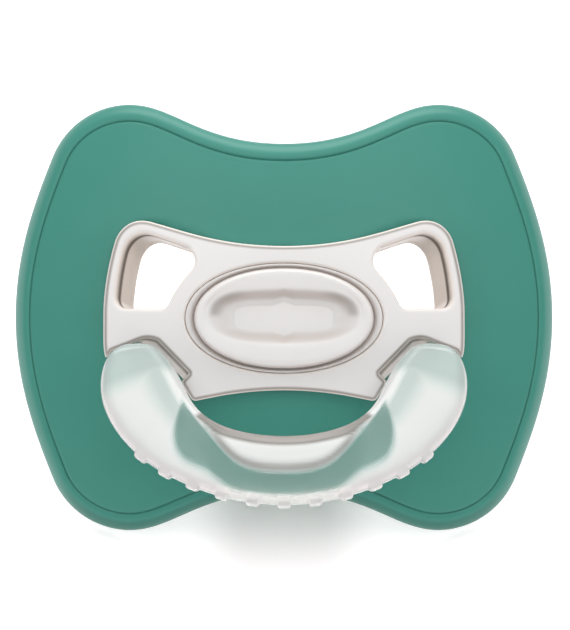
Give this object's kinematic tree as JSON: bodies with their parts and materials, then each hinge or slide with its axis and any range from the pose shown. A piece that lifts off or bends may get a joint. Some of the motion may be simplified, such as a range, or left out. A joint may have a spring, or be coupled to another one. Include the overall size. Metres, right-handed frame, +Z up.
{
  "type": "pacifier",
  "caption": "Baby pacifier with a curved butterfly shield, frosted front plate, oval cap, soft teat and a hinged bow handle.",
  "frame": {"origin": "on the table, under the middle of the object's box, with the pacifier standing on its two lower wing tips and the underside of the teat", "axes": "+X across the shield, +Y from the shield's front towards the teat, +Z up"},
  "size_m": [0.048, 0.0404, 0.0307],
  "materials": {
    "shield_green": "satin",
    "frosted_plastic": "satin",
    "silicone": "smooth"
  },
  "bodies": {
    "shield_body": {"shield": "shield_green", "front_plate": "frosted_plastic", "center_cap": "frosted_plastic", "teat": "silicone"},
    "handle_body": {"handle": "frosted_plastic"}
  },
  "joints": [
    {"name": "handle_hinge", "type": "hinge", "parent": "shield_body", "child": "handle_body", "pos_m": [0, -0.00393, 0.018], "axis": [-1, 0, 0], "range_deg": [-35, 45]}
  ]
}
